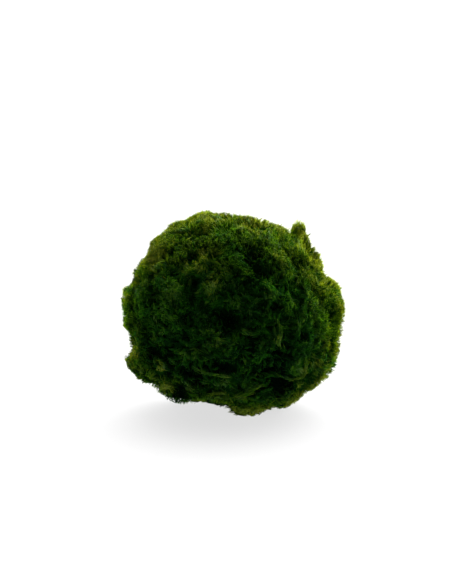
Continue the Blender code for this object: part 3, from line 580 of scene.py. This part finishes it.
class Locks:
    """The guides that strands bunch towards, with each lock's own shade."""

    def __init__(self, surface):
        spots, normals, level, depth, _ = surface.scatter(LOCKS)
        share = LOCKS_KEPT + (1 - LOCKS_KEPT) * on_crown(spots) - LOCKS_LOST_WHERE_MATTED * matted(spots)
        kept = rng.random(LOCKS) < share
        spots, normals, level, depth = (rows[kept] for rows in (spots, normals, level, depth))
        number = len(spots)
        lighter, _, laid = front_effects(spots)
        crown, wet = on_crown(spots), matted(spots)
        flow = Drift(*LOCK_FLOW)(spots) * LOCK_DRIFTS + rng.normal(0, LOCK_STRAY, spots.shape)
        flow += laid * LAID_DRIFTS
        flow += UP * (LOCK_UPWARDS + CROWN_UPWARDS * crown)[:, None]
        lean_from = LEAN_FROM + MATTED_LEAN_FROM * wet + CROWN_LEAN_FROM * crown
        lean_to = LEAN_TO + CROWN_LEAN_TO * crown + MATTED_LEAN_TO * wet
        starts = leaning(flow, normals, lean_from, lean_to) + laid * LAID_LEANS
        lengths = rng.uniform(*LOCK_LENGTH, number)
        lengths *= np.clip(1 + LOCK_LEVEL_LONGER * level, *LOCK_LEVEL_RANGE)
        lengths *= 1 + LAID_LONGER * np.minimum(np.linalg.norm(laid, axis=1), 1)
        lengths *= (1 + PIT_SHORTENS * np.minimum(lighter, 0)) * (1 + MATTED_LONGER * wet)
        lengths = np.minimum(lengths, LOCK_LONGEST)
        self.roots = spots - normals * depth[:, None]
        drift = Drift(*LOCK_CURL)
        curl = (LOCK_CURLS[0] + LOCK_CURLS[1] * crown + LOCK_CURLS[2] * wet)[:, None]
        self.paths = grown(self.roots, starts, lengths, LOCK_STEPS, lambda places: drift(places) * curl)
        # On the front and low down most locks are darker, as painted shade, and a few are much lighter
        front = facing(spots) * (1 - crown) * (1 - wet)
        brighter = FRONT_BRIGHTER * front + MATTED_BRIGHTER * wet
        self.tone = rng.normal(*LOCK_TONE, number) + brighter * rng.random(number) ** FEW_BRIGHTER
        self.tone -= FRONT_SHADE_DARKER * front + MATTED_SHADE_DARKER * wet
        self.hue = rng.normal(*LOCK_HUE, number)
        self.tree = KDTree(number)
        for k, spot in enumerate(self.roots):
            self.tree.insert(spot, k)
        self.tree.balance()

    def nearest(self, places):
        """The lock next to each place, and the tones of the locks around it mixed."""
        found = [self.tree.find_n(place, LOCKS_MIXED) for place in places]
        own = np.array([[lock for _, lock, _ in near] for near in found])
        share = 1 / (np.array([[away for _, _, away in near] for near in found]) + MIXED_FROM)
        return own[:, 0], (self.tone[own] * share).sum(axis=1) / share.sum(axis=1)

    def points(self, own, shares):
        """Points of each thread's guide, at shares of its length."""
        at = shares * LOCK_STEPS
        low = np.minimum(at.astype(int), LOCK_STEPS - 1)
        part = (at - low)[..., None]
        rows = own[:, None]
        return self.paths[rows, low] * (1 - part) + self.paths[rows, low + 1] * part


def broader(places):
    """How much broader the threads are on the crown and in the middle of the front."""
    return 1 + np.maximum(FRONT_BROADER * facing(places), CROWN_BROADER * on_crown(places))


def shade_of(places, level, more_tone, more_hue):
    """How light each thread is, from 0 to 1, and which of the greens it has, with painted light and shade:
    darker on the front and in hollows, lighter at the edge, on the crown and on knolls, and yellower where
    lit.
    """
    lighter, yellower, _ = front_effects(places)
    patches = Drift(*WIDE_TONES)(places)[:, 0] * WIDE_TONES_VARY
    patches += Drift(*FINE_TONES)(places)[:, 0] * FINE_TONES_VARY
    way = outwards(places)
    crown = on_crown(places)
    outer = (1 - facing(places)) * (1 - MATTED_LESS_LIT * matted(places))
    # Painted shade darkens the front, less so in its middle. A painted rim light lightens the edge, less so
    # at the lower left and behind
    shaded = rise(way @ NEAR, *SHADE_RISES) - MIDDLE_LESS_SHADED * rise(way @ NEAR, *MIDDLE_RISES)
    rim_light = 1 - rise(way @ NEAR, *EDGE_ENDS)
    rim_light *= 1 - BEHIND_LESS_LIT * rise(-way @ NEAR, *BEHIND_RISES)
    rim_light *= EDGE_LEAST + (1 - EDGE_LEAST) * rise(way @ unit(EDGE_LIT_FROM), *EDGE_LIT_RISES)
    rim_light *= np.clip(1 + Drift(*EDGE_GAPS)(places)[:, 0] * EDGE_VARIES, *EDGE_RANGE)
    # Painted light and shade: lighter on the crown, and by the level lighter on knolls and darker in hollows,
    # where shade falls
    tone = TONE + TONE_IN_CROWN_LIGHT * crown + patches + lighter + more_tone
    tone = tone + (RELIEF_LIGHT_AND_SHADE + CROWN_RELIEF_LIGHT_AND_SHADE * crown) * level
    tone += TONE_IN_RIM_LIGHT * rim_light + TONE_IN_SHADE * shaded
    # Where the light falls, outside the front and on the crown, the threads take the yellow green: painted
    # light
    lit = np.clip(LIT_OUTSIDE * outer + LIT_ON_CROWN * crown, 0, 1)
    hue = YELLOW * lit + HUE + OWN_HUES_VARY * more_hue
    hue = hue + WIDE_HUES_VARY * Drift(*WIDE_HUES)(places)[:, 1] + PATCH_HUES_VARY * yellower
    green = np.clip(np.rint(hue), 0, YELLOW).astype(int)
    # Low down, locks of a yellower hue have the cool green instead, except where a patch is yellow; its pale
    # light tones are partly a painted sheen on the wet strands
    height = way @ UP + Drift(*LOW_BORDER)(places)[:, 0] * LOW_VARIES
    low = height < LOW_BELOW + LOW_IN_FRONT * facing(places)
    green = np.where(low & (more_hue > COOL_ABOVE) & (yellower < COOL_BELOW), COOL_SHEEN, green)
    return np.clip(tone, *TONE_RANGE), green


def strands(surface, locks):
    """Threads that follow the nearest lock, and bunch towards it as they go."""
    roots, normals, level, depth, filled = surface.scatter(STRANDS)
    crown, wet = on_crown(roots), matted(roots)
    base = roots - normals * depth[:, None]
    own, mixed = locks.nearest(base)
    time = np.linspace(0, 1, STRAND_STEPS + 1)
    shares = rng.uniform(*STRAND_SHARE, STRANDS)[:, None] * time
    pull = rng.uniform(*LOCK_PULL, STRANDS) * (1 + CROWN_PULL * crown) + MATTED_PULL * wet
    pull = np.minimum(pull, 1)[:, None] * time ** PULL_BEGINS
    frizz = np.cumsum(rng.normal(0, STRAND_FRIZZ, (STRANDS, STRAND_STEPS + 1, 3)), axis=1)
    frizz *= (1 - CROWN_LESS_FRIZZ * crown - MATTED_LESS_FRIZZ * wet)[:, None, None]
    frizz -= frizz[:, :1]
    offset = (base - locks.roots[own])[:, None] * (1 - pull[..., None])
    tips = rng.random(STRANDS) ** FEW_STRANDS * STRAND_TIPS_VARY + TIPS_LOWEST + filled
    path = surface.pressed(locks.points(own, shares) + offset + frizz, tips)
    grain = rng.normal(*STRAND_TONE, STRANDS)
    grain += crown * (CROWN_BRIGHTER * rng.random(STRANDS) ** FEW_STRANDS - CROWN_DARKER)
    tone, green = shade_of(roots, level, mixed * LOCK_TONES_COUNT + grain, locks.hue[own])
    return path, normals, rng.uniform(*STRAND_WIDTH, STRANDS) * broader(roots), tone, green, roots


def fuzz(surface):
    """Short fine threads, fewer where the strands are broad."""
    found = surface.scatter(FUZZ_THREADS, FUZZ_CROWDED)
    spots = found[0]
    lost = FUZZ_LOST_WHERE_MATTED * matted(spots)
    lost += FUZZ_LOST_IN_FRONT * facing(spots) * (1 - on_crown(spots))
    kept = rng.random(FUZZ_THREADS) > lost
    roots, normals, level, depth, filled = (rows[kept] for rows in found)
    number = len(roots)
    crown = on_crown(roots)[:, None]
    starts = leaning(rng.normal(size=roots.shape) + UP * (FUZZ_UPWARDS + crown), normals, *FUZZ_LEAN)
    drift = Drift(*FUZZ_CURL)
    lengths = rng.uniform(*FUZZ_LENGTH, number) * (1 + PIT_SHORTENS * np.minimum(front_effects(roots)[0], 0))
    path = grown(roots - normals * depth[:, None] * FUZZ_ROOT, starts, lengths,
                 FUZZ_STEPS, lambda places: drift(places) * FUZZ_CURLS)
    path = surface.pressed(path, rng.random(number) ** FEW_FUZZ * FUZZ_TIPS_VARY + TIPS_LOWEST + filled)
    tone, green = shade_of(roots, level, rng.normal(*FUZZ_TONE, number), rng.normal(*FUZZ_HUE, number))
    return path, normals, rng.uniform(*FUZZ_WIDTH, number) * broader(roots), tone, green, roots


def hairs(surface):
    """Single upright threads, lower at the left edge of the picture and where the ball is matted."""
    roots, normals, level, _, filled = surface.scatter(HAIRS, FUZZ_CROWDED)
    starts = leaning(rng.normal(size=roots.shape) + UP * HAIR_UPWARDS, normals, *HAIR_LEAN)
    drift = Drift(*HAIR_CURL)
    sunk = np.minimum(HAIR_ROOT, off_floor(roots))
    left = rise(outwards(roots) @ -RIGHT, *HAIRS_LOWER)
    top = rng.uniform(*HAIR_TOP, HAIRS) * off_floor(roots)
    top *= 1 - LEFT_HAIRS_LOWER * left
    top *= 1 - MATTED_HAIRS_LOWER * matted(roots)
    top += filled
    path = grown(roots - normals * sunk[:, None], starts, np.maximum(sunk + top, HAIR_SHORTEST),
                 FUZZ_STEPS, lambda places: drift(places) * HAIR_CURLS)
    tone, green = shade_of(roots, level, rng.normal(*HAIR_TONE, HAIRS), rng.normal(*HAIR_HUE, HAIRS))
    return path, normals, rng.uniform(*HAIR_WIDTH, HAIRS), tone, green, roots


def front_locks(surface):
    """The single locks of the front: thin bunches among the tips, with both ends a little deeper."""
    sets = []
    time = np.linspace(0, 1, FRONT_LOCK_STEPS + 1)
    for x0, y0, x1, y1, bend, half_width, light, *cool in FRONT_LOCKS:
        length = math.hypot(x1 - x0, y1 - y0)
        number = int(FRONT_LOCK_LEAST + FRONT_LOCK_CROWD * length * half_width)
        first = rng.uniform(*FRONT_LOCK_START, number)[:, None]
        share = first + rng.uniform(*FRONT_LOCK_SHARE, number)[:, None] * time
        share = np.where(rng.random(number)[:, None] < 0.5, share, 1 - share)
        frizz = np.cumsum(rng.normal(0, FRONT_LOCK_FRIZZ, share.shape), axis=1)
        beside = rng.normal(0, half_width * FRONT_LOCK_SPREAD, number)[:, None]
        beside = beside + bend * np.sin(math.pi * share) + frizz
        right = x0 + (x1 - x0) * share - (y1 - y0) / length * beside
        above = y0 + (y1 - y0) * share + (x1 - x0) / length * beside
        spots, ways, found = surface.seen(right, above)
        steady = np.abs(np.diff(spots, axis=1)).max(axis=(1, 2)) < FRONT_LOCK_JUMP
        whole = found.all(axis=1) & steady
        spots, ways, number = spots[whole], ways[whole], whole.sum()
        height = rng.uniform(*FRONT_LOCK_HEIGHT, number)[:, None] - FRONT_LOCK_DIP * np.abs(2 * time - 1) ** 4
        path = spots + ways * height[..., None]
        # A lock's lightness: partly its own tone, partly a painted highlight
        grain = light + rng.normal(0, FRONT_LOCK_TONES_VARY, number)
        tone, green = shade_of(path[:, 2], 0.0, grain, 0.0)
        widths = rng.uniform(*FUZZ_WIDTH, number) * FRONT_LOCK_WIDER
        sets.append((path, unit(ways[:, 2]), widths, tone, np.where(bool(cool), COOL_SHEEN, green), path[:, 2]))
    return [np.concatenate(column) for column in zip(*sets)]


def tuft_threads():
    """The threads of each tuft: they start all along it, and are cut short at its rounded top."""
    sets = []
    draw = np.random.default_rng(TUFT_SEED)
    for foot, axis, length, radius, light in tuft_frames():
        out = across(draw.normal(size=(TUFT_THREADS, 3)), axis)
        out *= (np.sqrt(draw.random(TUFT_THREADS)) / np.linalg.norm(out, axis=1))[:, None]
        share = np.linalg.norm(out, axis=1)
        start = draw.uniform(*TUFT_START, TUFT_THREADS) * length
        top = (length + radius / 2) * np.sqrt(1 - TUFT_ROUNDED * share ** 2)
        reach = draw.uniform(*TUFT_THREAD_LENGTH, TUFT_THREADS)
        reach = np.minimum(reach, np.maximum(top - start, TUFT_THREAD_SHORTEST))
        roots = foot + out * radius * TUFT_FOOT + axis * start[:, None]
        ways = axis + out * TUFT_SPREAD + draw.normal(0, TUFT_STRAY, roots.shape)
        path = grown(roots, ways, reach, FUZZ_STEPS, lambda places: -out * TUFT_CLOSES)
        # Each thread is lighter the higher up the tuft it starts: painted light on the top
        grain = light * start / length + draw.normal(*TUFT_TONE, TUFT_THREADS)
        tone, _ = shade_of(roots, 0.0, grain, 0.0)
        green = np.where(draw.random(TUFT_THREADS) < 0.5, YELLOW, MIDDLING)
        sets.append((path, axis + out, draw.uniform(*FUZZ_WIDTH, TUFT_THREADS) * COARSE, tone, green, roots))
    return [np.concatenate(column) for column in zip(*sets)]


def resting_threads(surface):
    """Threads that lie flat on the spot that the ball rests on."""
    roots, normals, level, _, _ = surface.scatter(RESTING_THREADS, crowded=0.0, resting=True)
    drift = Drift(*RESTING_CURL)
    starts = across(drift(roots) + rng.normal(0, RESTING_STRAY, roots.shape), normals)
    path = grown(roots, starts, rng.uniform(*RESTING_LENGTH, RESTING_THREADS), FUZZ_STEPS,
                 lambda places: drift(places[:, [1, 2, 0]]) * FUZZ_CURLS)
    path[..., 2] = rng.uniform(*RESTING_HEIGHT, RESTING_THREADS)[:, None]
    grain = rng.normal(*RESTING_TONE, RESTING_THREADS)
    tone, green = shade_of(roots, level, grain, rng.normal(*FUZZ_HUE, RESTING_THREADS))
    return path, normals, rng.uniform(*FUZZ_WIDTH, RESTING_THREADS) * COARSE, tone, green, roots


def thread_template(steps):
    """One closed thread standing on the origin with its tip up, one unit long for each step."""
    bm = bmesh.new()
    bmesh.ops.create_circle(bm, segments=THREAD_SIDES, radius=1.0, cap_ends=True)
    top = bm.faces[:]
    for _ in range(steps - 1):
        added = bmesh.ops.extrude_face_region(bm, geom=top)["geom"]
        top = [part for part in added if isinstance(part, bmesh.types.BMFace)]
        bmesh.ops.translate(bm, vec=(0, 0, 1), verts=top[0].verts)
    tip = bmesh.ops.poke(bm, faces=top)
    bmesh.ops.translate(bm, vec=(0, 0, 1), verts=tip["verts"])
    bmesh.ops.triangulate(bm, faces=bm.faces)
    bmesh.ops.recalc_face_normals(bm, faces=bm.faces)
    bm.verts.index_update()
    corners = np.array([v.co for v in bm.verts])
    faces = np.array([[v.index for v in f.verts] for f in bm.faces])
    bm.free()
    return corners, faces


def crosswise(path, normals):
    """Two directions square to each path at each of its points."""
    ahead = np.empty_like(path)
    ahead[:, 1:-1] = path[:, 2:] - path[:, :-2]
    ahead[:, 0], ahead[:, -1] = path[:, 1] - path[:, 0], path[:, -1] - path[:, -2]
    ahead = unit(ahead)
    side = unit(np.cross(ahead, normals[:, None, :] + 1e-3))
    return side, np.cross(ahead, side)


def threads_along(path, normals, widths, tones, greens):
    """The template copied along every path: corners, triangles and the bake map's places."""
    steps = path.shape[1] - 1
    corners, faces = thread_template(steps)
    ring = np.rint(corners[:, 2]).astype(int)
    side, other = crosswise(path, normals)
    radius = widths[:, None] / 2 * np.array(TAPERS[steps])[ring]
    place = (path[:, ring]
             + side[:, ring] * (corners[:, 0] * radius)[..., None]
             + other[:, ring] * (corners[:, 1] * radius)[..., None])
    place[..., 2] = np.maximum(place[..., 2], THREADS_LOWEST)
    every = faces + np.arange(len(path))[:, None, None] * len(corners)
    by_tone = tones[:, None] * MAP_TONES + MAP_MARGIN + corners[:, 0] * MAP_THREAD
    by_green = (greens[:, None] + BAND_MARGIN + BAND_SHARE * ring / steps) / len(GREENS)
    spots = np.stack([by_tone, by_green], axis=-1)
    return place.reshape(-1, 3), every.reshape(-1, 3), spots.reshape(-1, 2)


def joined_mesh(name, parts, material):
    """One mesh from several sets of corners, triangles and bake places."""
    mesh = bpy.data.meshes.new(name)
    starts = np.cumsum([0] + [len(place) for place, _, _ in parts])
    corners = np.concatenate([place for place, _, _ in parts])
    faces = np.concatenate([tri + start for (_, tri, _), start in zip(parts, starts)])
    uv = np.concatenate([spot for _, _, spot in parts])
    mesh.vertices.add(len(corners))
    mesh.vertices.foreach_set("co", (corners * MM).astype(np.float32).ravel())
    mesh.loops.add(faces.size)
    mesh.loops.foreach_set("vertex_index", faces.astype(np.int32).ravel())
    mesh.polygons.add(len(faces))
    mesh.polygons.foreach_set("loop_start", np.arange(0, faces.size, 3, dtype=np.int32))
    mesh.update(calc_edges=True)
    layer = mesh.uv_layers.new(name="OFBake")
    layer.uv.foreach_set("vector", uv[faces.ravel()].astype(np.float32).ravel())
    mesh.shade_smooth()
    mesh.materials.append(material)
    return shown(name, mesh)


def shown(name, mesh):
    """An object with the mesh, at the origin."""
    obj = bpy.data.objects.new(name, mesh)
    bpy.context.scene.collection.objects.link(obj)
    return obj


# The zones that the threads are split into, and the sine of the angle where the crown begins
ZONES = ("front", "right", "back", "left", "crown", "underside")
CROWN_FROM = 0.62


def zone_of(places):
    """The name of the zone that each place is in."""
    x, y, z = outwards(places).T
    sides = np.where(x > 0, "right", "left")
    zone = np.where(np.abs(x) > np.abs(y), sides, np.where(y < 0, "front", "back"))
    zone = np.where(z > CROWN_FROM, "crown", zone)
    return np.where(z < -CROWN_FROM, "underside", zone)


def thread_pieces(surface, material):
    """All the threads, in one piece for each zone that they are rooted in."""
    sets = (strands(surface, Locks(surface)), fuzz(surface), hairs(surface),
            front_locks(surface), tuft_threads(), resting_threads(surface))
    pieces = []
    for zone in ZONES:
        parts = []
        for *columns, roots in sets:
            here = zone_of(roots) == zone
            parts.append(threads_along(*(column[here] for column in columns)))
        pieces.append(joined_mesh(f"moss_threads_{zone}", parts, material))
    return pieces


def felt_light(places):
    """How light the felt is, from 0 to 1: painted shade makes it darkest in the pits and low on the ball."""
    light = FELT_LIGHT + PATCHES_ON_FELT * front_effects(places)[0]
    return np.clip(light - MATTED_FELT_SHADE * matted(places), 0, 1)


def felt_piece(bm, surface, material):
    """The felt under the threads: the ball's form, drawn in by the threads' length and roughened."""
    for v, place in zip(bm.verts, surface.sunk):
        v.co = place
    bmesh.ops.subdivide_edges(bm, edges=bm.edges, cuts=1, use_grid_fill=True, smooth=0.0)
    bm.normal_update()
    for seed, size, height in FELT_GRAINS:
        places = np.array([v.co for v in bm.verts])
        for v, push in zip(bm.verts, Drift(seed, size)(places)[:, 0] * height):
            v.co += v.normal * push
            v.co.z = max(v.co.z, FELT_LOWEST)
    light = felt_light(np.array([v.co for v in bm.verts]))
    bmesh.ops.scale(bm, vec=(MM,) * 3, verts=bm.verts)
    mesh = bpy.data.meshes.new("moss_felt")
    bm.to_mesh(mesh)
    mesh.attributes.new("light", "FLOAT", "POINT").data.foreach_set("value", light.astype(np.float32))
    mesh.shade_smooth()
    mesh.materials.append(material)
    return shown("moss_felt", mesh)


# Materials

class Value:
    """A shader socket that can be used in sums."""

    def __init__(self, nodes, socket):
        self.nodes, self.socket = nodes, socket

    def worked(self, operation, a, b):
        return self.nodes.add("ShaderNodeMath", {"operation": operation}, {0: a, 1: b})["Value"]

    def __add__(self, other):
        return self.worked("ADD", self, other)

    def __mul__(self, other):
        return self.worked("MULTIPLY", self, other)

    def __pow__(self, other):
        return self.worked("POWER", self, other)

    __radd__ = __add__


class Outputs:
    """A node's outputs by name, as values."""

    def __init__(self, nodes, node):
        self.nodes, self.node = nodes, node

    def __getitem__(self, key):
        return Value(self.nodes, self.node.outputs[key])


class Nodes:
    """A material's or the world's nodes, and the one way of adding to them."""

    def __init__(self, owner):
        owner.use_nodes = True
        self.tree = owner.node_tree

    def put(self, sockets, values):
        for key, value in values.items():
            if isinstance(value, Value):
                self.tree.links.new(value.socket, sockets[key])
            else:
                sockets[key].default_value = value

    def add(self, kind, settings=None, values=None):
        node = self.tree.nodes.new(kind)
        for key, value in (settings or {}).items():
            if key == "stops":
                ramp = node.color_ramp
                while len(ramp.elements) < len(value):
                    ramp.elements.new(0.5)
                for element, (position, color) in zip(ramp.elements, value):
                    element.position = position
                    element.color = (*color, 1.0)
            else:
                setattr(node, key, value)
        self.put(node.inputs, values or {})
        return Outputs(self, node)

    def noise(self, place, size, detail=3.0):
        return self.add("ShaderNodeTexNoise", {}, {
            "Vector": place, "Scale": 1 / (size * MM), "Detail": detail})["Fac"]

    def ramp(self, fac, stops):
        return self.add("ShaderNodeValToRGB", {"stops": stops}, {"Fac": fac})["Color"]

    def mix(self, fac, a, b):
        return self.add("ShaderNodeMix", {"data_type": "RGBA"}, {0: fac, 6: a, 7: b})[2]


def paint(name, values_of):
    """A material whose shader takes the values that the function works out with its nodes."""
    material = bpy.data.materials.new(name)
    nodes = Nodes(material)
    nodes.put(nodes.tree.nodes["Principled BSDF"].inputs, values_of(nodes))
    return material


# The colour of the threads' tips in each green, from the darkest threads to the lightest.
# The deep and the yellow green serve partly as shaded and lit copies: painted shade on the front, painted
# light at the edge and on the crown.
# The cool green's pale light tones are partly a painted sheen on wet strands
GREENS = (
    ((0.0003, 0.004, 0.0008), (0.0075, 0.045, 0.0024), (0.060, 0.130, 0.014), (0.210, 0.350, 0.045)),
    ((0.0006, 0.005, 0.0008), (0.0155, 0.050, 0.0024), (0.092, 0.148, 0.013), (0.320, 0.390, 0.046)),
    ((0.0015, 0.006, 0.0008), (0.0270, 0.057, 0.0022), (0.126, 0.166, 0.012), (0.425, 0.435, 0.050)),
    ((0.0004, 0.004, 0.0012), (0.0090, 0.046, 0.0060), (0.066, 0.136, 0.022), (0.190, 0.290, 0.070)),
)
TONE_STOPS = (0.0, 0.35, 0.65, 1.0)
# The roots are darker than the tips: painted shade deep among the threads
ROOT_SHADE_SHARES = (0.04, 0.23, 0.23)  # of the tip's red, green and blue


def thread_paint(nodes):
    """Threads: the map's first number is the thread's tone, and the second its green and the way along it."""
    spot = nodes.add("ShaderNodeSeparateXYZ", {}, {
        0: nodes.add("ShaderNodeUVMap", {"uv_map": "OFBake"})["UV"]})
    tone, bands = spot["X"], spot["Y"] * len(GREENS)
    along = nodes.add("ShaderNodeMath", {"operation": "FRACT"}, {0: bands})["Value"]
    color = None
    for number, shades in enumerate(GREENS):
        tip = nodes.ramp(tone, tuple(zip(TONE_STOPS, shades)))
        root = nodes.ramp(tone, tuple((stop, tuple(c * share for c, share in zip(shade, ROOT_SHADE_SHARES)))
                                      for stop, shade in zip(TONE_STOPS, shades)))
        # Each thread darkens towards its root: painted shade deep among the threads
        green = nodes.mix(along ** 1.3, root, tip)
        past = nodes.add("ShaderNodeMath", {"operation": "GREATER_THAN"}, {0: bands, 1: number})["Value"]
        color = green if color is None else nodes.mix(past, color, green)
    return {"Base Color": color, "Roughness": 0.6, "Specular IOR Level": 0.008, "Subsurface Weight": 0.7,
            "Subsurface Radius": (0.16, 0.2, 0.02), "Subsurface Scale": MM}


def felt_paint(nodes):
    """The felt between the threads: dark green, mottled, and nearly black in the pits, where its shade is
    painted.
    """
    place = nodes.add("ShaderNodeTexCoord")["Object"]
    light = nodes.add("ShaderNodeAttribute", {"attribute_name": "light"})["Fac"]
    color = nodes.ramp(light * (nodes.noise(place, 1.2) * 1.2 + 0.4), (
        (0.0, (0.0005, 0.003, 0.0012)), (0.4, (0.0014, 0.012, 0.0018)), (0.9, (0.0048, 0.034, 0.0025))))
    bump = nodes.add("ShaderNodeBump", {}, {
        "Height": nodes.noise(place, 0.35, 4.0), "Strength": 0.8, "Distance": 0.3 * MM})["Normal"]
    return {"Base Color": color, "Roughness": 0.9, "Specular IOR Level": 0.0, "Normal": bump}


def floor_paint(nodes):
    """The floor: plain, and lit a little from within so that it looks nearly white."""
    return {"Base Color": (0.25, 0.25, 0.25, 1.0), "Roughness": 0.9, "Specular IOR Level": 0.0,
            "Emission Color": (1.0, 1.0, 1.0, 1.0), "Emission Strength": 0.7}


# Floor, light and camera

def floor_piece():
    """A wide round floor, which isn't part of the object."""
    bm = bmesh.new()
    bmesh.ops.create_circle(bm, cap_ends=True, segments=64, radius=FLOOR_RADIUS * MM)
    mesh = bpy.data.meshes.new("floor")
    bm.to_mesh(mesh)
    bm.free()
    mesh.materials.append(paint("floor_white", floor_paint))
    shown("floor", mesh)


def studio_light():
    """Light from all round, like a white tent lit from behind."""
    world = bpy.data.worlds.new("studio")
    nodes = Nodes(world)
    way = nodes.add("ShaderNodeTexCoord")["Generated"]
    along = nodes.add("ShaderNodeVectorMath", {"operation": "DOT_PRODUCT"}, {
        0: way, 1: Vector(LIGHT_FROM).normalized()})["Value"]
    strength = LIGHT_LOW + (along * 0.5 + 0.5) ** LIGHT_FALL * LIGHT_HIGH
    sky = nodes.tree.nodes["Background"]
    nodes.put(sky.inputs, {"Color": (1.0, 1.0, 1.0, 1.0), "Strength": strength})
    bpy.context.scene.world = world
    bpy.context.scene.view_settings.view_transform = "Standard"


def camera():
    """A long lens far in front of the ball and a little above it."""
    data = bpy.data.cameras.new("camera")
    data.sensor_width = SENSOR
    data.lens = SENSOR * CAMERA_AWAY / PICTURE_HEIGHT
    data.clip_start, data.clip_end = 0.01, 20.0
    obj = bpy.data.objects.new("camera", data)
    aim = BALL_MIDDLE - RIGHT * BALL_RIGHT + UP * BALL_BELOW
    obj.location = (aim + NEAR * CAMERA_AWAY) * MM
    obj.rotation_euler = Vector(NEAR).to_track_quat("Z", "Y").to_euler()
    bpy.context.scene.collection.objects.link(obj)
    bpy.context.scene.camera = obj


def build():
    camera()
    studio_light()
    floor_piece()
    bm = ball_mesh()
    surface = Surface(bm)
    pieces = [felt_piece(bm, surface, paint("moss_felt", felt_paint)),
              *thread_pieces(surface, paint("moss_thread", thread_paint))]
    bm.free()
    for piece in pieces:
        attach(piece, "root")
        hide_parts("moss_ball")


build()
